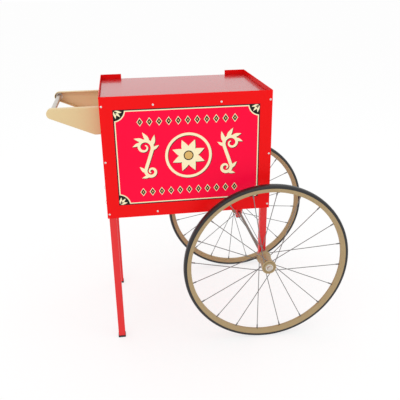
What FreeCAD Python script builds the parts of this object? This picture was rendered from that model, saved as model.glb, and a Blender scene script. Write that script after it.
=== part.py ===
import FreeCAD, Part
import math
import os

# Popcorn cart: a sheet-steel cabinet with a recessed deck, carried on two long legs and two spoked
# wheels, with a push handle on the end away from the wheels.
# Frame: +X towards the wheels, +Y away from the printed front, +Z up, origin on the floor below the middle.
# All sizes in millimetres.

# Cabinet sheets
cab_width = 505.0
cab_depth = 392.0
cab_height = 372.0
ground_clearance = 438.0
sheet = 1.2
fold_inside = 1.2
seat_gap = 0.2
deck_recess = 15.0
deck_flange = 30.0
floor_flange = 28.0
front_flange = 20.0
rear_flange = 70.0
hem_height = 10.0
stiffener_height = 26.0
stiffener_flange = 22.0

# Printed panel on the front
print_side_margin = 37.0
print_top_margin = 38.0
print_bottom_margin = 41.0
print_thickness = 0.4

# Legs, their corner brackets and their ends
tube = 22.0
tube_wall = 1.5
tube_corner = 2.5
leg_inside = 120.0
leg_below_axle = 21.0
bracket_wall = 3.0
notch_gap = 1.0
foot_wall = 1.2
foot_base = 3.0
foot_lip = 3.0
plug_head = 2.5
plug_length = 14.0
plug_gap = 0.1

# Wheels
wheel_radius = 268.0
wheel_offset = 54.5
tyre_width = 24.0
tyre_side = 7.5
tyre_shoulder = 2.0
tyre_gap = 0.3
rim_width = 22.0
rim_depth = 16.5
rim_side = 5.5
rim_floor_width = 8.0
rim_wall = 1.8
spoke_count = 20
spoke_radius = 1.5
spoke_facets = 8
spoke_turn = 12.0
spoke_seat = 5.0
spoke_tail = 1.0
spoke_stagger = 1.5
hub_outer = 27.0
hub_inner = 43.0
hub_flange_radius = 23.0
hub_flange_width = 6.0
hub_barrel_radius = 19.5
hub_ring_radius = 15.5
hub_ring_height = 1.5
bush_radius = 9.0
bush_length = 16.0
bush_flange_radius = 12.0
bush_flange_width = 1.5

# Axle and what holds the wheels on it
axle_radius = 5.0
running_gap = 0.05
hole_gap = 0.2
axial_play = 0.3
washer_radius = 10.5
washer_width = 1.2
spacer_radius = 8.0
cap_across = 16.0
cap_hex_height = 4.5
cap_dome_height = 5.0
cap_thread = 5.5

# Push handle
handle_reach = 154.0
handle_inset = 57.0
handle_drop = 40.5
arm_thickness = 19.0
arm_wall = 1.5
arm_edge = 2.5
arm_root_height = 82.0
arm_root_flat = 20.0
arm_heel_radius = 12.0
nose_radius = 15.0
bar_radius = 8.0
bar_wall = 1.5
collar_radius = 10.5
collar_length = 5.0

# Places worked out from the sizes
fold_outside = fold_inside + sheet
leg_side_inset = sheet + bracket_wall
leg_front_inset = 2 * sheet + bracket_wall
leg_rear_inset = sheet + bracket_wall
overall_length = handle_reach + cab_width - leg_side_inset - tube / 2 + wheel_radius
cab_left = handle_reach - overall_length / 2
cab_right = cab_left + cab_width
cab_middle = (cab_left + cab_right) / 2
y_front = -cab_depth / 2
y_rear = cab_depth / 2
cab_bottom = ground_clearance
rim_top = cab_bottom + cab_height
deck_top = rim_top - deck_recess
leg_top = cab_bottom + leg_inside
axle_x = cab_right - leg_side_inset - tube / 2
axle_z = wheel_radius
lip_radius = wheel_radius - tyre_side
rim_floor_radius = lip_radius - rim_depth
hub_outer_end = hub_outer + hub_ring_height
hub_inner_end = hub_inner + hub_ring_height
cap_start = hub_outer_end + bush_flange_width + axial_play + washer_width
inner_stack = hub_inner_end + bush_flange_width + axial_play + washer_width
handle_top = rim_top - handle_drop
nose_x = cab_left - handle_reach + nose_radius
nose_z = handle_top - nose_radius

X_AXIS = FreeCAD.Vector(1, 0, 0)
Y_AXIS = FreeCAD.Vector(0, 1, 0)
Z_AXIS = FreeCAD.Vector(0, 0, 1)


def vec(x, y, z):
    return FreeCAD.Vector(x, y, z)


def box(x0, x1, y0, y1, z0, z1):
    return Part.makeBox(x1 - x0, y1 - y0, z1 - z0, vec(x0, y0, z0))


def rod(radius, start, end):
    along = end - start
    return Part.makeCylinder(radius, along.Length, start, along)


def line(start, end):
    return Part.LineSegment(start, end).toShape()


def rounded_path(points, radii):
    """Edges of an open path whose inner corners are rounded with the given radii."""
    edges = []
    start = points[0]
    for before, corner, after, radius in zip(points, points[1:], points[2:], radii):
        back = (before - corner).normalize()
        ahead = (after - corner).normalize()
        half = back.getAngle(ahead) / 2
        first = corner + back * (radius / math.tan(half))
        last = corner + ahead * (radius / math.tan(half))
        middle = corner + (back + ahead).normalize() * (radius / math.sin(half) - radius)
        edges.append(line(start, first))
        edges.append(Part.Arc(first, middle, last).toShape())
        start = last
    edges.append(line(start, points[-1]))
    return edges


def folded_sheet(outer, inner, wall, sweep):
    """A sheet folded along a path, given as the points of its outer and its inner face."""
    folds = len(outer) - 2
    edges = rounded_path(outer, [fold_inside + wall] * folds)
    edges.append(line(outer[-1], inner[-1]))
    edges += rounded_path(inner[::-1], [fold_inside] * folds)
    edges.append(line(inner[0], outer[0]))
    return Part.Face(Part.Wire(edges)).extrude(sweep)


def upright(edge):
    """True for a straight edge that runs along Z."""
    first = edge.Vertexes[0].Point
    last = edge.Vertexes[-1].Point
    return abs(first.x - last.x) < 1e-6 and abs(first.y - last.y) < 1e-6


def rounded_tub(x0, x1, y0, y1, z_closed, z_open, radius):
    """A block whose closed end and upright edges are rounded."""
    block = box(x0, x1, y0, y1, min(z_closed, z_open), max(z_closed, z_open))
    picked = [e for e in block.Edges if upright(e) or abs(e.CenterOfMass.z - z_closed) < 1e-6]
    return block.makeFillet(radius, picked)


def folded_pan(x0, x1, y0, y1, z_closed, z_open):
    """A shallow pan: one flat sheet with its four edges folded the same way."""
    up = 1 if z_open > z_closed else -1
    shell = rounded_tub(x0, x1, y0, y1, z_closed, z_open, fold_outside)
    inside = rounded_tub(
        x0 + sheet, x1 - sheet, y0 + sheet, y1 - sheet,
        z_closed + up * sheet, z_open + up * sheet, fold_inside,
    )
    return shell.cut(inside)


def square_tube(x0, y0, z0, z1):
    outer = box(x0, x0 + tube, y0, y0 + tube, z0, z1)
    outer = outer.makeFillet(tube_corner, [e for e in outer.Edges if upright(e)])
    bore = box(
        x0 + tube_wall, x0 + tube - tube_wall, y0 + tube_wall, y0 + tube - tube_wall, z0, z1
    )
    bore = bore.makeFillet(tube_corner - tube_wall / 2, [e for e in bore.Edges if upright(e)])
    return outer.cut(bore)


def prism(facets, radius, start, end):
    """A prism with a regular polygon section, along a straight line."""
    along = end - start
    across = Y_AXIS if abs(along.x) > abs(along.y) else X_AXIS
    arm = along.cross(across).normalize() * radius
    corners = []
    for step in range(facets):
        corners.append(start + FreeCAD.Rotation(along, 360 * step / facets).multVec(arm))
    return Part.Face(Part.makePolygon(corners + corners[:1])).extrude(along)


def leg_origin(side, end):
    """Low corner in X and Y of the leg on the given side (left -1) and end (front -1)."""
    x0 = cab_left + leg_side_inset if side < 0 else cab_right - leg_side_inset - tube
    y0 = y_front + leg_front_inset if end < 0 else y_rear - leg_rear_inset - tube
    return x0, y0


def arm_outer_y(end):
    return y_front + handle_inset if end < 0 else y_rear - handle_inset


# Cabinet

def side_panel(side):
    """Side sheet with a narrow front flange and a wide rear flange, which rise above the deck."""
    x0 = cab_left
    y0 = y_front + sheet
    outer = [(x0 + front_flange, y0), (x0, y0), (x0, y_rear), (x0 + rear_flange, y_rear)]
    inner = [
        (x0 + front_flange, y0 + sheet), (x0 + sheet, y0 + sheet),
        (x0 + sheet, y_rear - sheet), (x0 + rear_flange, y_rear - sheet),
    ]
    panel = folded_sheet(
        [vec(x, y, cab_bottom) for x, y in outer],
        [vec(x, y, cab_bottom) for x, y in inner],
        sheet, Z_AXIS * cab_height,
    )
    hem_room = box(
        x0 + fold_outside, x0 + front_flange + seat_gap, y0 - seat_gap, y0 + sheet + seat_gap,
        rim_top - hem_height - seat_gap, rim_top + seat_gap,
    )
    panel = panel.cut(hem_room)
    if side > 0:
        panel = panel.mirror(vec(cab_middle, 0, 0), X_AXIS)
    return panel


def front_panel():
    """Front sheet over the side flanges, its top edge turned over in a closed hem."""
    y0 = y_front
    crest = rim_top - sheet
    outline = [
        line(vec(cab_left, y0, cab_bottom), vec(cab_left, y0, crest)),
        Part.Arc(
            vec(cab_left, y0, crest), vec(cab_left, y0 + sheet, rim_top), vec(cab_left, y0 + 2 * sheet, crest)
        ).toShape(),
        line(vec(cab_left, y0 + 2 * sheet, crest), vec(cab_left, y0 + 2 * sheet, rim_top - hem_height)),
        line(vec(cab_left, y0 + 2 * sheet, rim_top - hem_height), vec(cab_left, y0 + sheet, rim_top - hem_height)),
        line(vec(cab_left, y0 + sheet, rim_top - hem_height), vec(cab_left, y0 + sheet, cab_bottom)),
        line(vec(cab_left, y0 + sheet, cab_bottom), vec(cab_left, y0, cab_bottom)),
    ]
    panel = Part.Face(Part.Wire(outline)).extrude(X_AXIS * cab_width)
    notch = fold_outside + seat_gap
    for x0 in (cab_left, cab_right - notch):
        panel = panel.cut(
            box(x0, x0 + notch, y0 + sheet, y0 + 3 * sheet, rim_top - 2 * hem_height, rim_top + sheet)
        )
    return panel


def pan_span():
    """Outer X and Y limits of a pan that fits between the side sheets."""
    gap = sheet + seat_gap
    return cab_left + gap, cab_right - gap, y_front + sheet + gap, y_rear - gap


def deck_pan():
    return folded_pan(*pan_span(), deck_top, deck_top - deck_flange)


def floor_pan():
    """Cabinet floor, its corners notched for the legs and their brackets."""
    x0, x1, y0, y1 = pan_span()
    pan = folded_pan(x0, x1, y0, y1, cab_bottom, cab_bottom + floor_flange)
    notches = []
    for side in (-1, 1):
        for end in (-1, 1):
            leg_x, leg_y = leg_origin(side, end)
            low_x = x0 - sheet if side < 0 else leg_x - notch_gap
            high_x = leg_x + tube + notch_gap if side < 0 else x1 + sheet
            low_y = y0 - sheet if end < 0 else leg_y - notch_gap
            high_y = leg_y + tube + notch_gap if end < 0 else y1 + sheet
            notches.append(
                box(low_x, high_x, low_y, high_y, cab_bottom - sheet, cab_bottom + 2 * floor_flange)
            )
    return pan.cut(notches)


def deck_stiffener():
    """C channel under the middle of the deck, from side to side."""
    x0, x1 = pan_span()[:2]
    inset = fold_outside + seat_gap
    top = deck_top - sheet
    low = top - stiffener_height
    y_web = -stiffener_flange / 2
    outer = [(y_web + stiffener_flange, top), (y_web, top), (y_web, low), (y_web + stiffener_flange, low)]
    inner = [
        (y_web + stiffener_flange, top - sheet), (y_web + sheet, top - sheet),
        (y_web + sheet, low + sheet), (y_web + stiffener_flange, low + sheet),
    ]
    return folded_sheet(
        [vec(x0 + inset, y, z) for y, z in outer],
        [vec(x0 + inset, y, z) for y, z in inner],
        sheet, X_AXIS * (x1 - x0 - 2 * inset),
    )


def front_print():
    plate = box(
        cab_left + print_side_margin, cab_right - print_side_margin, y_front - print_thickness, y_front,
        cab_bottom + print_bottom_margin, rim_top - print_top_margin,
    )
    return plate


# Legs

def long_leg(end):
    x0, y0 = leg_origin(-1, end)
    return square_tube(x0, y0, foot_base, leg_top)


def short_leg(end):
    x0, y0 = leg_origin(1, end)
    leg = square_tube(x0, y0, axle_z - leg_below_axle, leg_top)
    return leg.cut(rod(axle_radius + hole_gap, vec(axle_x, y0 - tube, axle_z), vec(axle_x, y0 + 2 * tube, axle_z)))


def leg_bracket(side, end):
    """Angle in the cabinet corner, between the sheets and the leg."""
    leg_x, leg_y = leg_origin(side, end)
    x_in = leg_x if side < 0 else leg_x + tube
    y_in = leg_y if end < 0 else leg_y + tube
    x_out = x_in + side * bracket_wall
    y_out = y_in + end * bracket_wall
    x_tip = x_in - side * tube
    y_tip = y_in - end * tube
    outer = [(x_tip, y_out), (x_out, y_out), (x_out, y_tip)]
    inner = [(x_tip, y_in), (x_in, y_in), (x_in, y_tip)]
    return folded_sheet(
        [vec(x, y, cab_bottom) for x, y in outer],
        [vec(x, y, cab_bottom) for x, y in inner],
        bracket_wall, Z_AXIS * leg_inside,
    )


def leg_brackets():
    return Part.makeCompound([leg_bracket(side, end) for side in (-1, 1) for end in (-1, 1)])


def foot(end):
    """Plastic cup over the lower end of a long leg."""
    x0, y0 = leg_origin(-1, end)
    cup = box(
        x0 - foot_wall, x0 + tube + foot_wall, y0 - foot_wall, y0 + tube + foot_wall, 0, foot_base + foot_lip
    )
    cup = cup.makeFillet(tube_corner, [e for e in cup.Edges if upright(e)])
    seat = box(
        x0 - plug_gap, x0 + tube + plug_gap, y0 - plug_gap, y0 + tube + plug_gap,
        foot_base, foot_base + 2 * foot_lip,
    )
    seat = seat.makeFillet(tube_corner, [e for e in seat.Edges if upright(e)])
    return cup.cut(seat)


def leg_plug(end):
    """Plastic plug in the lower end of a short leg."""
    x0, y0 = leg_origin(1, end)
    z_end = axle_z - leg_below_axle
    head = box(x0, x0 + tube, y0, y0 + tube, z_end - plug_head, z_end)
    head = head.makeFillet(tube_corner, [e for e in head.Edges if upright(e)])
    inset = tube_wall + plug_gap
    stem = box(
        x0 + inset, x0 + tube - inset, y0 + inset, y0 + tube - inset, z_end,
        z_end + min(plug_length, leg_below_axle - axle_radius - hole_gap),
    )
    stem = stem.makeFillet(tube_corner - tube_wall / 2, [e for e in stem.Edges if upright(e)])
    return head.fuse(stem)


# Axle

def wheel_point(end, radius, outward):
    """Point in the plane through the axle, at a distance outward from the rim's middle plane."""
    middle = y_front - wheel_offset if end < 0 else y_rear + wheel_offset
    return vec(axle_x + radius, middle + end * outward, axle_z)


def turned(end, outline):
    """A solid turned about the axle from an outline of (radius, outward) points."""
    points = [wheel_point(end, radius, outward) for radius, outward in outline]
    face = Part.Face(Part.makePolygon(points + points[:1]))
    return face.revolve(vec(axle_x, 0, axle_z), Y_AXIS, 360)


def sleeve(end, inner, outer, start, stop):
    return turned(end, [(inner, start), (outer, start), (outer, stop), (inner, stop)])


def axle():
    tip = cap_start + cap_thread - axial_play
    return rod(axle_radius, wheel_point(-1, 0, tip), wheel_point(1, 0, tip))


def axle_washers():
    washers = []
    for end in (-1, 1):
        bore = axle_radius + hole_gap
        washers.append(sleeve(end, bore, washer_radius, cap_start - washer_width, cap_start))
        washers.append(sleeve(end, bore, washer_radius, -inner_stack, washer_width - inner_stack))
    return Part.makeCompound(washers)


def axle_spacer(end):
    """Sleeve between the short leg and the inner washer."""
    leg_face = wheel_offset + (leg_front_inset if end < 0 else leg_rear_inset)
    return sleeve(end, axle_radius + hole_gap, spacer_radius, -leg_face, -inner_stack)


def axle_cap(end):
    """Domed cap nut on the end of the axle."""
    shoulder = cap_start + cap_hex_height
    crest = shoulder + cap_dome_height
    across = cap_across / 2
    body = prism(6, cap_across / math.sqrt(3), wheel_point(end, 0, cap_start), wheel_point(end, 0, shoulder))
    dome = turned(end, [
        (0, shoulder), (across, shoulder), (0.9 * across, shoulder + 0.5 * cap_dome_height),
        (0.5 * across, shoulder + 0.9 * cap_dome_height), (0, crest),
    ])
    thread = rod(
        axle_radius + running_gap, wheel_point(end, 0, cap_start), wheel_point(end, 0, cap_start + cap_thread)
    )
    return body.fuse(dome).cut(thread)


# Wheels

def tyre(end):
    """Solid rubber tyre: a crowned tread and a root that seats in the rim's channel."""
    half = tyre_width / 2
    lip = lip_radius + tyre_gap
    root_half = rim_width / 2 - rim_wall - tyre_gap
    outline = [
        (wheel_radius, half / 2), (wheel_radius - tyre_shoulder, half), (lip, half), (lip, root_half),
        (lip_radius - rim_side, root_half),
    ]
    return turned(end, outline + [(r, -t) for r, t in outline[::-1]])


def rim(end):
    """Rolled steel rim: a channel whose sides slope in to a narrow floor, drilled for the spokes."""
    half = rim_width / 2
    floor_half = rim_floor_width / 2
    outer = [(lip_radius, half), (lip_radius - rim_side, half), (rim_floor_radius, floor_half)]
    inner = [
        (rim_floor_radius + rim_wall, floor_half), (lip_radius - rim_side, half - rim_wall),
        (lip_radius, half - rim_wall),
    ]
    channel = outer + [(r, -t) for r, t in outer[::-1]] + [(r, -t) for r, t in inner[::-1]] + inner
    return turned(end, channel).cut(spoke_rods(end, spoke_radius + hole_gap))


def spoke_rods(end, radius):
    """Spokes laced in turn to the outer and the inner hub flange."""
    rods = []
    for step in range(spoke_count):
        lace = 1 if step % 2 == 0 else -1
        flange = hub_outer - hub_flange_width / 2 if lace > 0 else hub_flange_width / 2 - hub_inner
        start = wheel_point(end, hub_flange_radius - spoke_seat, flange)
        stop = wheel_point(end, rim_floor_radius + rim_wall + spoke_tail, lace * spoke_stagger)
        spoke = prism(spoke_facets, radius, start, stop)
        spoke.rotate(vec(axle_x, 0, axle_z), Y_AXIS, -(spoke_turn + step * 360 / spoke_count))
        rods.append(spoke)
    return rods


def hub(end):
    """Turned hub: a fat barrel with a flange and a raised ring at each end, bored for its bushes."""
    bore = bush_radius + running_gap
    outline = [
        (bore, hub_outer_end), (hub_ring_radius, hub_outer_end), (hub_ring_radius, hub_outer),
        (hub_flange_radius, hub_outer), (hub_flange_radius, hub_outer - hub_flange_width),
        (hub_barrel_radius, hub_outer - 2 * hub_flange_width),
        (hub_barrel_radius, 2 * hub_flange_width - hub_inner),
        (hub_flange_radius, hub_flange_width - hub_inner), (hub_flange_radius, -hub_inner),
        (hub_ring_radius, -hub_inner), (hub_ring_radius, -hub_inner_end), (bore, -hub_inner_end),
    ]
    return turned(end, outline).cut(spoke_rods(end, spoke_radius + running_gap))


def hub_bushes(end):
    """Flanged bushes in both ends of the hub, running on the axle."""
    bore = axle_radius + running_gap
    bushes = []
    for face, out in ((hub_outer_end, 1), (-hub_inner_end, -1)):
        outline = [
            (bore, face + out * bush_flange_width), (bush_flange_radius, face + out * bush_flange_width),
            (bush_flange_radius, face), (bush_radius, face), (bush_radius, face - out * bush_length),
            (bore, face - out * bush_length),
        ]
        bushes.append(turned(end, outline))
    return Part.makeCompound(bushes)


# Handle

def arm_outline(y):
    """Edges of the arm's side view: straight top, round nose, slanted underside, short flat heel."""
    heel = vec(cab_left - arm_root_flat, y, handle_top - arm_root_height)
    nose = vec(nose_x, y, nose_z)
    to_nose = nose - heel
    slope = math.atan2(to_nose.z, to_nose.x) + math.asin(nose_radius / to_nose.Length)
    apex = heel + vec(math.cos(slope), 0, math.sin(slope)) * (arm_root_height / math.sin(slope))
    root_top = vec(cab_left, y, handle_top)
    root_low = vec(cab_left, y, handle_top - arm_root_height)
    edges = rounded_path([root_top, apex, heel, root_low], [nose_radius, arm_heel_radius])
    return Part.Wire(edges + [line(root_low, root_top)])


def handle_arm(end):
    """Pressed arm: an open pan with its flat face outward and a wall all round."""
    y_out = arm_outer_y(end)
    inward = Y_AXIS * -end
    outline = Part.Face(arm_outline(y_out))
    block = outline.extrude(inward * arm_thickness)
    rounded = []
    for edge in block.Edges:
        on_face = all(abs(v.Point.y - y_out) < 1e-6 for v in edge.Vertexes)
        at_root = all(abs(v.Point.x - cab_left) < 1e-6 for v in edge.Vertexes)
        if on_face and not at_root:
            rounded.append(edge)
    block = block.makeFillet(arm_edge, rounded)
    pocket = outline.makeOffset2D(-arm_wall).extrude(inward * arm_thickness)
    pocket.translate(inward * arm_wall)
    return block.cut(pocket)


def handle_bar():
    """Tube between the arms' noses, with a collar at each end."""
    half = -arm_outer_y(-1) - arm_wall
    outline = [
        (bar_radius - bar_wall, half), (collar_radius, half), (collar_radius, half - collar_length),
        (bar_radius, half - collar_length), (bar_radius, collar_length - half),
        (collar_radius, collar_length - half), (collar_radius, -half), (bar_radius - bar_wall, -half),
    ]
    points = [vec(nose_x + radius, y, nose_z) for radius, y in outline]
    face = Part.Face(Part.makePolygon(points + points[:1]))
    return face.revolve(vec(nose_x, 0, nose_z), Y_AXIS, 360)


nodes = {
    "front_panel": front_panel(),
    "left_side_panel": side_panel(-1),
    "right_side_panel": side_panel(1),
    "deck_pan": deck_pan(),
    "floor_pan": floor_pan(),
    "deck_stiffener": deck_stiffener(),
    "front_print": front_print(),
    "leg_brackets": leg_brackets(),
    "axle": axle(),
    "axle_washers": axle_washers(),
    "handle_bar": handle_bar(),
}
for end, place in ((-1, "front"), (1, "rear")):
    nodes["long_leg_" + place] = long_leg(end)
    nodes["short_leg_" + place] = short_leg(end)
    nodes["foot_" + place] = foot(end)
    nodes["leg_plug_" + place] = leg_plug(end)
    nodes["axle_spacer_" + place] = axle_spacer(end)
    nodes["axle_cap_" + place] = axle_cap(end)
    nodes["handle_arm_" + place] = handle_arm(end)
    nodes["tyre_" + place] = tyre(end)
    nodes["rim_" + place] = rim(end)
    nodes["spokes_" + place] = Part.makeCompound(spoke_rods(end, spoke_radius))
    nodes["hub_" + place] = hub(end)
    nodes["hub_bushes_" + place] = hub_bushes(end)

os.makedirs("parts", exist_ok=True)
for name, shape in nodes.items():
    shape.exportStep("parts/" + name + ".step")
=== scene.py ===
import math

import bmesh
import bpy
from mathutils import Matrix, Vector


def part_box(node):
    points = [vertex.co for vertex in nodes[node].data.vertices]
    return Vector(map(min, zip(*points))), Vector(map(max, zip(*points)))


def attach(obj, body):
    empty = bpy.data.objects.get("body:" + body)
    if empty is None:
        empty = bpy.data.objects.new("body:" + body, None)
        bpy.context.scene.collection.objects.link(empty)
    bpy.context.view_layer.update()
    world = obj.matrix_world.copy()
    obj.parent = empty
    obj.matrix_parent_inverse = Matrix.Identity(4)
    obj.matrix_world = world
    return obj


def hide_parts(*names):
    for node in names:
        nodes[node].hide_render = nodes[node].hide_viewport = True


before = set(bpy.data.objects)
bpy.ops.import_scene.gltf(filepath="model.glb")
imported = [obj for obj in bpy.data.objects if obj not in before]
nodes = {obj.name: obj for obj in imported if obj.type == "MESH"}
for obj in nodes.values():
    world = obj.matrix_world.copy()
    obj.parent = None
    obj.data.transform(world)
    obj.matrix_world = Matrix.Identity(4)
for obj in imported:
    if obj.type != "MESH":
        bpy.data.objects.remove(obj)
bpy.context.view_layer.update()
MM = 0.001


# Places read from the CAD frame, in metres

cab_low = Vector(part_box("front_panel")[0])
cab_high = Vector(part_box("right_side_panel")[1])
cab_left = cab_low.x
cab_right = cab_high.x
front_y = cab_low.y
rear_y = cab_high.y
cab_bottom = cab_low.z
rim_top = cab_high.z
print_low = Vector(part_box("front_print")[0])
print_high = Vector(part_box("front_print")[1])
deck_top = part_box("deck_pan")[1][2]
axle_low = Vector(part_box("axle")[0])
axle_high = Vector(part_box("axle")[1])
axle_x = (axle_low.x + axle_high.x) / 2
axle_z = (axle_low.z + axle_high.z) / 2


# Materials

def linear(red, green, blue):
    """Linear colour from 0 to 255 display values."""
    values = []
    for value in (red, green, blue):
        c = value / 255
        values.append(c / 12.92 if c <= 0.04045 else ((c + 0.055) / 1.055) ** 2.4)
    return values + [1.0]


def finish(name, colour, shade, roughness, spread=0.03, scale=30, bump=0.012, metallic=0.0, coat=0.0,
           specular=0.5, stretch=(1, 1, 1)):
    """A procedural finish: two close colours, uneven roughness and a fine surface texture."""
    material = bpy.data.materials.new(name)
    material.use_nodes = True
    tree = material.node_tree
    shader = tree.nodes["Principled BSDF"]
    shader.inputs["Metallic"].default_value = metallic
    shader.inputs["Coat Weight"].default_value = coat
    shader.inputs["Coat Roughness"].default_value = 0.08
    shader.inputs["Specular IOR Level"].default_value = specular
    place = tree.nodes.new("ShaderNodeTexCoord")
    mapping = tree.nodes.new("ShaderNodeMapping")
    mapping.inputs["Scale"].default_value = stretch
    tree.links.new(place.outputs["Object"], mapping.inputs["Vector"])
    broad = tree.nodes.new("ShaderNodeTexNoise")
    broad.inputs["Scale"].default_value = scale
    broad.inputs["Detail"].default_value = 4
    fine = tree.nodes.new("ShaderNodeTexNoise")
    fine.inputs["Scale"].default_value = scale * 25
    fine.inputs["Detail"].default_value = 3
    for noise in (broad, fine):
        tree.links.new(mapping.outputs["Vector"], noise.inputs["Vector"])
    mix = tree.nodes.new("ShaderNodeMix")
    mix.data_type = "RGBA"
    mix.inputs["A"].default_value = linear(*colour)
    mix.inputs["B"].default_value = linear(*shade)
    tree.links.new(broad.outputs["Fac"], mix.inputs["Factor"])
    tree.links.new(mix.outputs["Result"], shader.inputs["Base Color"])
    rough = tree.nodes.new("ShaderNodeMapRange")
    rough.inputs["From Min"].default_value = 0.3
    rough.inputs["From Max"].default_value = 0.7
    rough.inputs["To Min"].default_value = roughness - spread
    rough.inputs["To Max"].default_value = roughness + spread
    tree.links.new(fine.outputs["Fac"], rough.inputs["Value"])
    tree.links.new(rough.outputs["Result"], shader.inputs["Roughness"])
    relief = tree.nodes.new("ShaderNodeBump")
    relief.inputs["Strength"].default_value = bump
    relief.inputs["Distance"].default_value = 0.0003
    tree.links.new(fine.outputs["Fac"], relief.inputs["Height"])
    tree.links.new(relief.outputs["Normal"], shader.inputs["Normal"])
    return material


red_paint = finish("red_paint", (237, 16, 18), (231, 12, 15), 0.34, spread=0.015, scale=6, bump=0.004,
                   specular=0.09)
leg_paint = finish("leg_paint", (226, 16, 20), (220, 12, 17), 0.34, spread=0.015, scale=6, bump=0.004,
                   specular=0.55)
deck_paint = finish("deck_paint", (180, 16, 20), (174, 13, 17), 0.26, spread=0.01, scale=4, bump=0.002,
                    specular=0.4, coat=0.4)
print_field = finish("print_field", (250, 11, 64), (246, 8, 58), 0.36, scale=6, specular=0.07)
print_black = finish("print_black", (20, 15, 15), (12, 10, 10), 0.35, scale=20, specular=0.2)
print_cream = finish("print_cream", (247, 235, 196), (241, 227, 182), 0.35, scale=20, specular=0.2)
print_gold = finish("print_gold", (222, 184, 110), (205, 164, 92), 0.35, scale=20, specular=0.2)
tan_paint = finish("tan_paint", (221, 199, 151), (214, 190, 142), 0.38, scale=9, specular=0.3)
# Painted shade of the turned groove on each hub face: a darker copy of the wheel tan, laid on as a thin
# ring.
hub_groove_shade = finish("hub_groove_shade", (124, 104, 74), (112, 93, 66), 0.45, scale=20, specular=0.3)
wheel_tan = finish("wheel_tan", (174, 152, 112), (164, 141, 103), 0.4, scale=12, specular=0.3)
rubber = finish("rubber", (22, 21, 23), (15, 14, 16), 0.4, scale=14, bump=0.1, specular=0.55)
spoke_steel = finish("spoke_steel", (140, 139, 138), (116, 115, 114), 0.34, metallic=1.0, scale=18)
axle_steel = finish("axle_steel", (150, 144, 134), (122, 116, 108), 0.36, metallic=1.0, scale=14,
                    stretch=(1, 0.1, 1))
bar_steel = finish("bar_steel", (206, 198, 188), (190, 182, 172), 0.32, metallic=1.0, scale=14,
                   stretch=(1, 0.1, 1))
bright_steel = finish("bright_steel", (244, 238, 234), (232, 226, 222), 0.24, metallic=1.0, scale=40)
# Painted shade of the screws' cross recesses: a dark grey steel for the bars that stand in for the hollow.
dark_recess = finish("dark_recess", (128, 120, 116), (104, 98, 94), 0.5, metallic=0.6, scale=60)
black_plastic = finish("black_plastic", (30, 30, 32), (22, 22, 24), 0.5, scale=40, bump=0.1)
bush_plastic = finish("bush_plastic", (205, 200, 188), (192, 186, 172), 0.45, scale=40)

CAD_FINISHES = {
    red_paint: (
        "front_panel", "left_side_panel", "right_side_panel", "floor_pan", "deck_stiffener", "leg_brackets",
    ),
    leg_paint: ("long_leg_front", "long_leg_rear", "short_leg_front", "short_leg_rear"),
    deck_paint: ("deck_pan",),
    print_field: ("front_print",),
    tan_paint: ("handle_arm_front", "handle_arm_rear"),
    wheel_tan: ("rim_front", "rim_rear", "hub_front", "hub_rear"),
    rubber: ("tyre_front", "tyre_rear"),
    axle_steel: ("axle", "axle_spacer_front", "axle_spacer_rear"),
    bar_steel: ("handle_bar", "axle_cap_front", "axle_cap_rear"),
    bright_steel: ("axle_washers",),
    black_plastic: ("foot_front", "foot_rear", "leg_plug_front", "leg_plug_rear"),
    bush_plastic: ("hub_bushes_front", "hub_bushes_rear"),
}
for material, names in CAD_FINISHES.items():
    for name in names:
        nodes[name].data.materials.clear()
        nodes[name].data.materials.append(material)


# Meshes that ride on the CAD bodies

def mesh_object(name, build, material, body):
    """A new mesh filled by build(bm), with one finish, riding on a body."""
    mesh = bpy.data.meshes.new(name)
    bm = bmesh.new()
    build(bm)
    bm.to_mesh(mesh)
    bm.free()
    for face in mesh.polygons:
        face.use_smooth = True
    mesh.set_sharp_from_angle(angle=math.radians(35))
    mesh.materials.append(material)
    piece = bpy.data.objects.new(name, mesh)
    bpy.context.collection.objects.link(piece)
    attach(piece, body)
    return piece


def add_turned(bm, outline, centre, outward, steps):
    """A turned solid: outline of (radius, height) points about an axis that starts at centre."""
    turn = Vector((0, 0, 1)).rotation_difference(outward).to_matrix()
    rings = []
    for radius, height in outline:
        ring = []
        for step in range(steps):
            angle = 2 * math.pi * step / steps
            point = Vector((radius * math.cos(angle), radius * math.sin(angle), height))
            ring.append(bm.verts.new(centre + turn @ point))
        rings.append(ring)
    for lower, upper in zip(rings, rings[1:]):
        for step in range(steps):
            after = (step + 1) % steps
            bm.faces.new((lower[step], lower[after], upper[after], upper[step]))
    bm.faces.new(rings[0][::-1])
    bm.faces.new(rings[-1])


def add_ring(bm, section, centre, outward, steps):
    """A turned ring: a closed section of (radius, height) points about an axis through centre."""
    turn = Vector((0, 0, 1)).rotation_difference(outward).to_matrix()
    rings = []
    for radius, height in section:
        angles = [2 * math.pi * step / steps for step in range(steps)]
        rings.append([
            bm.verts.new(centre + turn @ Vector((radius * math.cos(a), radius * math.sin(a), height)))
            for a in angles
        ])
    for lower, upper in zip(rings, rings[1:] + rings[:1]):
        for step in range(steps):
            after = (step + 1) % steps
            bm.faces.new((lower[step], lower[after], upper[after], upper[step]))


def add_bar(bm, centre, outward, along, length, width, height):
    """A small straight bar lying on a face at centre."""
    across = outward.cross(along).normalized()
    frame_matrix = Matrix((along * length, across * width, outward * height)).transposed().to_4x4()
    frame_matrix.translation = centre
    bmesh.ops.create_cube(bm, size=1.0, matrix=frame_matrix)


# Screws and bolts

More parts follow.
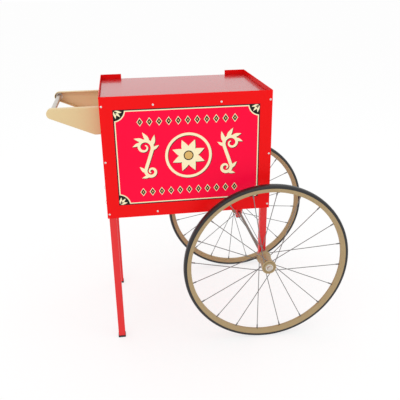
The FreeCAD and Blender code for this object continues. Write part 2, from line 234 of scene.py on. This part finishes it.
HEAD_STEPS = 24
TOP_ROW_DROP = 27.5 * MM
LOW_ROW_RISE = 14 * MM
SCREW_EDGE = 6.5 * MM
SCREW_INSET = 153 * MM
REAR_SCREW_INSET = 45 * MM
REAR_SCREW_DROP = 15 * MM
LEG_BOLT_RISES = (48 * MM, 96 * MM)
ARM_BOLT_DROPS = (22 * MM, 58 * MM)
ARM_WALL = 1.5 * MM
SHEET = 1.2 * MM
RECESS_REACH = 1.1 * MM
RECESS_WIDTH = 0.16
RECESS_HEIGHT = 0.3 * MM
RECESS_SINK = 0.1 * MM
SCREW_HEAD = ((3.3, 0.0), (3.3, 0.7), (2.9, 1.5), (1.9, 2.0), (0.4, 2.2))
BOLT_HEAD = ((6.0, 0.0), (6.0, 1.0), (5.2, 2.4), (3.4, 3.2), (0.5, 3.4))
NUT_STEPS = 6
NUT_BODY = ((5.77, 0.0), (5.77, 4.4), (5.0, 5.0))
NUT_THREAD = ((3.0, 4.0), (3.0, 6.0), (2.4, 6.6))


def scaled(outline):
    return [(radius * MM, height * MM) for radius, height in outline]


def headed(name, places, outline):
    """Domed heads, one mesh for each set of fasteners, and a cross recess of painted shade: two thin dark
    bars on each head.
    """
    def heads(bm):
        for centre, outward in places:
            add_turned(bm, scaled(outline), centre, outward, HEAD_STEPS)

    # The cross recess is not cut into the head: two thin dark bars paint its shade on top.
    def recess_shades(bm):
        reach = outline[0][0] * RECESS_REACH
        for centre, outward in places:
            top = centre + outward * (outline[-1][1] * MM)
            upright = Vector((0, 0, 1))
            side = outward.cross(upright)
            for along in (upright, side):
                low = top - outward * RECESS_SINK
                add_bar(bm, low, outward, along, reach, RECESS_WIDTH * reach, RECESS_HEIGHT)

    mesh_object(name, heads, bright_steel, "cart")
    mesh_object(name + "_recess", recess_shades, dark_recess, "cart")


front = Vector((0, -1, 0))
back = Vector((0, 1, 0))
left = Vector((-1, 0, 0))
right = Vector((1, 0, 0))
top_row = rim_top - TOP_ROW_DROP
low_row = cab_bottom + LOW_ROW_RISE
middle_row = (top_row + low_row) / 2
columns = [cab_left + SCREW_EDGE, cab_left + SCREW_INSET, cab_right - SCREW_INSET, cab_right - SCREW_EDGE]
front_places = [(Vector((x, front_y, z)), front) for x in columns for z in (top_row, low_row)]
front_places += [(Vector((x, front_y, middle_row)), front) for x in (columns[0], columns[-1])]
headed("front_screws", front_places, SCREW_HEAD)

rear_places = []
for x in (cab_left + REAR_SCREW_INSET, cab_right - REAR_SCREW_INSET):
    for z in (deck_top - REAR_SCREW_DROP, low_row):
        rear_places.append((Vector((x, rear_y, z)), back))
headed("rear_screws", rear_places, SCREW_HEAD)

bolt_places = []
nut_places = []
for leg, face_x, outward in (
    ("long_leg_front", cab_left, left), ("long_leg_rear", cab_left, left),
    ("short_leg_front", cab_right, right), ("short_leg_rear", cab_right, right),
):
    leg_low, leg_high = (Vector(corner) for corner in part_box(leg))
    inner_x = leg_high.x if outward == left else leg_low.x
    for rise in LEG_BOLT_RISES:
        at = Vector((face_x, (leg_low.y + leg_high.y) / 2, cab_bottom + rise))
        bolt_places.append((at, outward))
        nut_places.append((Vector((inner_x, at.y, at.z)), -outward))
for arm in ("handle_arm_front", "handle_arm_rear"):
    arm_low, arm_high = (Vector(corner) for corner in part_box(arm))
    for drop in ARM_BOLT_DROPS:
        at = Vector((arm_high.x - ARM_WALL, (arm_low.y + arm_high.y) / 2, arm_high.z - drop))
        bolt_places.append((at, left))
        nut_places.append((Vector((cab_left + SHEET, at.y, at.z)), right))
headed("bolts", bolt_places, BOLT_HEAD)


def nut_bodies(bm):
    for centre, outward in nut_places:
        add_turned(bm, scaled(NUT_BODY), centre, outward, NUT_STEPS)
        add_turned(bm, scaled(NUT_THREAD), centre, outward, HEAD_STEPS)


mesh_object("nuts", nut_bodies, bright_steel, "cart")


# Spokes with their nipples

SPOKE_COUNT = 20
SPOKE_TURN = 12
SPOKE_LACE = 36
SPOKE_STEPS = 12
SPOKE_RADIUS = 1.25 * MM
SPOKE_HUB_RADIUS = 21.5
SPOKE_RIM_RADIUS = 246.3
INNER_FLANGE = -40.0
OUTER_FLANGE = 24.0
HUB_STAGGER = 1.4
RIM_STAGGER = 1.5
NIPPLE = ((1.7, 0.0), (2.2, 0.6), (2.2, 8.0), (2.0, 12.0))
NIPPLE_BACK = 14 * MM


def spoke_places(place, side):
    """Start at the hub flange and end at the rim floor of each spoke."""
    rim_low, rim_high = (Vector(corner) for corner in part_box("rim_" + place))
    middle = Vector((axle_x, (rim_low.y + rim_high.y) / 2, axle_z))

    def wheel_point(radius, degrees, outward):
        angle = math.radians(degrees)
        return middle + Vector((radius * math.cos(angle), side * outward, radius * math.sin(angle))) * MM

    ends = []
    for step in range(SPOKE_COUNT):
        flange = INNER_FLANGE if step % 2 == 0 else OUTER_FLANGE
        lead = 1 if step % 4 < 2 else -1
        angle = SPOKE_TURN + 360 * step / SPOKE_COUNT
        hub_end = wheel_point(SPOKE_HUB_RADIUS, angle + lead * SPOKE_LACE, flange + lead * HUB_STAGGER)
        ends.append((hub_end, wheel_point(SPOKE_RIM_RADIUS, angle, lead * RIM_STAGGER)))
    return ends


for place, side in (("front", -1), ("rear", 1)):
    laced = spoke_places(place, side)

    def rods(bm):
        for start, end in laced:
            run = end - start
            outline = [(SPOKE_RADIUS, 0), (SPOKE_RADIUS, run.length)]
            add_turned(bm, outline, start, run.normalized(), SPOKE_STEPS)

    def nipples(bm):
        for start, end in laced:
            run = (end - start).normalized()
            add_turned(bm, scaled(NIPPLE), end - run * NIPPLE_BACK, run, SPOKE_STEPS)

    body = "wheel_" + place
    spokes = mesh_object("spoke_rods_" + place, rods, spoke_steel, body)
    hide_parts("spokes_" + place)
    mesh_object("spoke_nipples_" + place, nipples, spoke_steel, body)


# Tyres with a rounded section, and a dark ring of painted shade for the turned groove on the face of each
# hub

TYRE_HALF = ((258.0, 11.2), (258.8, 12.0), (262.0, 12.0), (265.2, 10.9), (267.2, 8.0), (268.0, 3.6))
# Section of the thin dark ring that paints the groove's shade on the hub face, in millimetres.
HUB_GROOVE_SHADE = ((17.2, 26.8), (18.6, 26.8), (18.6, 27.1), (17.2, 27.1))
TYRE_STEPS = 128
HUB_GROOVE_SHADE_STEPS = 64
for place, outward in (("front", front), ("rear", back)):
    rim_low, rim_high = (Vector(corner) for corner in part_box("rim_" + place))
    middle = Vector((axle_x, (rim_low.y + rim_high.y) / 2, axle_z))
    far_half = tuple((radius, -height) for radius, height in TYRE_HALF[::-1])
    tyre_section = scaled(TYRE_HALF + far_half)

    def tyre_ring(bm):
        add_ring(bm, tyre_section, middle, outward, TYRE_STEPS)

    def groove_shade_ring(bm):
        add_ring(bm, scaled(HUB_GROOVE_SHADE), middle, outward, HUB_GROOVE_SHADE_STEPS)

    tyre = mesh_object("rounded_tyre_" + place, tyre_ring, rubber, "wheel_" + place)
    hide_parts("tyre_" + place)
    mesh_object("hub_groove_shade_" + place, groove_shade_ring, hub_groove_shade, "wheel_" + place)


# Printed decoration on the front

print_middle = (print_low + print_high) / 2
half_wide = (print_high.x - print_low.x) / 2 / MM
half_tall = (print_high.z - print_low.z) / 2 / MM
LAYER = 0.05 * MM


def printed(name, loops, layer, material):
    """Flat closed loops of (across, up) points, in millimetres from the panel's middle."""
    curve = bpy.data.curves.new(name, "CURVE")
    curve.dimensions = "2D"
    curve.fill_mode = "BOTH"
    curve.extrude = 0.01 * MM
    for loop in loops:
        spline = curve.splines.new("POLY")
        spline.points.add(len(loop) - 1)
        for point, (across, up) in zip(spline.points, loop):
            point.co = (across * MM, up * MM, 0, 1)
        spline.use_cyclic_u = True
    curve.materials.append(material)
    piece = bpy.data.objects.new(name, curve)
    bpy.context.collection.objects.link(piece)
    piece.location = (print_middle.x, print_low.y - layer * LAYER, print_middle.z)
    piece.rotation_euler = (math.pi / 2, 0, 0)
    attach(piece, "cart")
    return piece


def rectangle(inset):
    x = half_wide - inset
    y = half_tall - inset
    return [(-x, -y), (x, -y), (x, y), (-x, y)]


def plaque(inset, radius):
    """A rectangle whose corners are scooped out by circles round the panel's corners."""
    along = math.sqrt(radius ** 2 - inset ** 2)
    first = math.atan2(inset, along)
    points = []
    for quarter, (sx, sy) in enumerate(((-1, -1), (1, -1), (1, 1), (-1, 1))):
        for step in range(17):
            share = step / 16
            angle = first + (math.pi / 2 - 2 * first) * (1 - share if quarter % 2 == 0 else share)
            points.append((
                sx * (half_wide - radius * math.cos(angle)), sy * (half_tall - radius * math.sin(angle))
            ))
    return points


def petal(base, angle, length, width):
    """A pointed leaf from a base point."""
    points = []
    for share, side in [(s / 12, 1) for s in range(13)] + [(s / 12, -1) for s in range(11, 0, -1)]:
        along = length * share
        off = side * width / 2 * math.sin(math.pi * share ** 0.7)
        points.append((
            base[0] + along * math.cos(angle) - off * math.sin(angle),
            base[1] + along * math.sin(angle) + off * math.cos(angle),
        ))
    return points


def disc(centre, radius, steps=32):
    turns = [2 * math.pi * step / steps for step in range(steps)]
    return [(centre[0] + radius * math.cos(t), centre[1] + radius * math.sin(t)) for t in turns]


def stroke(path, width):
    """A band along a path, thin at both ends."""
    left_side = []
    right_side = []
    last = len(path) - 1
    for index, (x, y) in enumerate(path):
        before = path[max(index - 1, 0)]
        after = path[min(index + 1, last)]
        run = math.hypot(after[0] - before[0], after[1] - before[1])
        nx = -(after[1] - before[1]) / run
        ny = (after[0] - before[0]) / run
        half = width / 2 * (0.3 + 0.7 * math.sin(math.pi * index / last))
        left_side.append((x + nx * half, y + ny * half))
        right_side.append((x - nx * half, y - ny * half))
    return left_side + right_side[::-1]


def s_scroll(first, first_radius, second, second_radius, turns):
    """Path of an S scroll: a spiral out of one centre, straight across, and a spiral into the other."""
    span = math.hypot(second[0] - first[0], second[1] - first[1])
    bearing = math.atan2(second[1] - first[1], second[0] - first[0])
    leave = bearing - math.acos((first_radius + second_radius) / span)
    path = []
    for step in range(33):
        share = step / 32
        angle = leave - turns * 2 * math.pi * (1 - share)
        radius = first_radius * (0.22 + 0.78 * share)
        path.append((first[0] + radius * math.cos(angle), first[1] + radius * math.sin(angle)))
    for step in range(33):
        share = step / 32
        angle = leave + math.pi - turns * 2 * math.pi * share
        radius = second_radius * (1 - 0.78 * share)
        path.append((second[0] + radius * math.cos(angle), second[1] + radius * math.sin(angle)))
    return path


def sprig(path, index, swing, length, width):
    """A leaf that grows out of a path, turned from the path's run by swing."""
    before = path[index - 1]
    after = path[index + 1]
    run = math.atan2(after[1] - before[1], after[0] - before[0])
    return petal(path[index], run + swing, length, width)


def mirrored(loop):
    return [(-x, y) for x, y in loop]


def shifted(loop, across, up):
    return [(x + across, y + up) for x, y in loop]


printed("print_edge", [rectangle(0.3), plaque(3.4, 33)], 1, print_black)
printed("print_line", [plaque(3.4, 33), plaque(6.6, 36.4)], 1, print_cream)
for number, (sx, sy) in enumerate(((-1, -1), (1, -1), (1, 1), (-1, 1))):
    corner = (sx * (half_wide - 4.5), sy * (half_tall - 4.5))
    inward = math.atan2(-sy, -sx)
    for count, swing in enumerate((-0.62, 0.0, 0.62)):
        leaf = petal(corner, inward + swing, 22 if swing else 24, 7.5)
        printed("corner_leaf_%d_%d" % (number, count), [leaf], 2, print_cream)

ornament = []
SPRAY_LEAVES = (
    (35, 0.5, 34, 12), (38, 0.45, 34, 12), (41, 0.45, 30, 11), (44, 0.5, 24, 9),
    (26, -0.55, 24, 9), (30, -0.5, 26, 10), (33, 0.7, 24, 9),
)
for flip in (list, mirrored):
    stem = s_scroll((112, -44), 18, (130, 32), 24, 1.25)
    ornament.append(flip(stroke(stem, 10)))
    for index, swing, length, width in SPRAY_LEAVES:
        ornament.append(flip(sprig(stem, index, swing, length, width)))
for step in range(8):
    ornament.append(petal((0, 0), 2 * math.pi * step / 8 + math.pi / 8, 52, 24))
for count, loop in enumerate(ornament):
    printed("ornament_shadow_%d" % count, [shifted(loop, 1.6, -1.8)], 2, print_black)
    printed("ornament_%d" % count, [loop], 3 + count * 0.02, print_cream)
printed("medallion_shadow", [disc((1.6, -1.8), 70, 96), disc((1.6, -1.8), 62, 96)], 2, print_black)
printed("medallion", [disc((0, 0), 70, 96), disc((0, 0), 62, 96)], 3, print_cream)
printed("rosette_ring", [disc((0, 0), 15)], 5, print_black)
printed("rosette_eye", [disc((0, 0), 12)], 6, print_gold)

LOZENGE_COUNT = 11
LOZENGE_PITCH = 28
LOZENGE_TALL = 13
LOZENGE_WIDE = 9
for row, up in enumerate((108, -108)):
    for count in range(LOZENGE_COUNT):
        across = (count - (LOZENGE_COUNT - 1) / 2) * LOZENGE_PITCH
        for layer, share, material in ((2, 1.0, print_cream), (3, 0.76, print_black), (4, 0.3, print_gold)):
            wide = share * LOZENGE_WIDE
            tall = share * LOZENGE_TALL
            lozenge = [(across - wide, up), (across, up - tall), (across + wide, up), (across, up + tall)]
            printed("lozenge_%d_%d_%d" % (row, count, layer), [lozenge], layer, material)


# Floor, light and camera

FLOOR_GLOW = 0.7
AMBIENT = 0.95

floor_mesh = bpy.data.meshes.new("floor")
floor_mesh.from_pydata([(-30, -30, 0), (30, -30, 0), (30, 30, 0), (-30, 30, 0)], [], [(0, 1, 2, 3)])
floor = bpy.data.objects.new("floor", floor_mesh)
bpy.context.collection.objects.link(floor)
def seen_directly(tree):
    """1 for camera, glossy and transmission rays, 0 for the rays that only carry light."""
    rays = tree.nodes.new("ShaderNodeLightPath")
    total = rays.outputs["Is Camera Ray"]
    for name in ("Is Glossy Ray", "Is Transmission Ray"):
        add = tree.nodes.new("ShaderNodeMath")
        add.operation = "ADD"
        add.use_clamp = True
        tree.links.new(total, add.inputs[0])
        tree.links.new(rays.outputs[name], add.inputs[1])
        total = add.outputs["Value"]
    return total


floor_white = finish("floor_white", (255, 255, 255), (254, 254, 254), 0.9, scale=3, bump=0.0, specular=0.0)
floor_mesh.materials.append(floor_white)
floor_tree = floor_white.node_tree
glow = floor_tree.nodes.new("ShaderNodeEmission")
glow.inputs["Color"].default_value = (1, 1, 1, 1)
glow.inputs["Strength"].default_value = 1.0
share = floor_tree.nodes.new("ShaderNodeMath")
share.operation = "MULTIPLY"
share.inputs[1].default_value = FLOOR_GLOW
floor_tree.links.new(seen_directly(floor_tree), share.inputs[0])
blend = floor_tree.nodes.new("ShaderNodeMixShader")
floor_tree.links.new(share.outputs["Value"], blend.inputs["Fac"])
floor_tree.links.new(floor_tree.nodes["Principled BSDF"].outputs["BSDF"], blend.inputs[1])
floor_tree.links.new(glow.outputs["Emission"], blend.inputs[2])
floor_tree.links.new(blend.outputs["Shader"], floor_tree.nodes["Material Output"].inputs["Surface"])

world = bpy.data.worlds.new("studio")
bpy.context.scene.world = world
world.use_nodes = True
sky = world.node_tree
background = sky.nodes["Background"]
background.inputs["Color"].default_value = (1, 1, 1, 1)
level = sky.nodes.new("ShaderNodeMapRange")
level.inputs["To Min"].default_value = AMBIENT
level.inputs["To Max"].default_value = 1.0
sky.links.new(seen_directly(sky), level.inputs["Value"])
sky.links.new(level.outputs["Result"], background.inputs["Strength"])


def soft_light(name, location, size, power):
    data = bpy.data.lights.new(name, "AREA")
    data.shape = "SQUARE"
    data.size = size
    data.energy = power
    lamp = bpy.data.objects.new(name, data)
    bpy.context.collection.objects.link(lamp)
    lamp.location = location
    aim = Vector((0, 0, 0.45)) - Vector(location)
    lamp.rotation_euler = aim.to_track_quat("-Z", "Y").to_euler()


soft_light("key", (-1.6, -2.6, 2.6), 2.2, 14)
soft_light("fill", (2.4, -1.8, 1.8), 2.4, 5)
soft_light("top", (0.2, 0.6, 3.2), 2.6, 8)

IMAGE_PX = 400
SENSOR_MM = 36
CAMERA_PLACE = (62.9 * MM, -1573.4 * MM, 1122.2 * MM)
YAW = 0.1401
PITCH = 0.3846
ROLL = -0.0149
FOCAL_PX = 554.54
ahead = Vector((math.sin(YAW) * math.cos(PITCH), math.cos(YAW) * math.cos(PITCH), -math.sin(PITCH)))
level_right = Vector((math.cos(YAW), -math.sin(YAW), 0))
level_up = level_right.cross(ahead)
camera_right = math.cos(ROLL) * level_right + math.sin(ROLL) * level_up
camera_up = -math.sin(ROLL) * level_right + math.cos(ROLL) * level_up
camera_data = bpy.data.cameras.new("camera")
camera_data.sensor_width = SENSOR_MM
camera_data.lens = FOCAL_PX / IMAGE_PX * SENSOR_MM
camera = bpy.data.objects.new("camera", camera_data)
bpy.context.collection.objects.link(camera)
pose = Matrix((camera_right, camera_up, -ahead)).transposed().to_4x4()
pose.translation = Vector((cab_left, front_y, 0)) + Vector(CAMERA_PLACE)
camera.matrix_world = pose
bpy.context.scene.camera = camera
bpy.context.scene.view_settings.view_transform = "Standard"
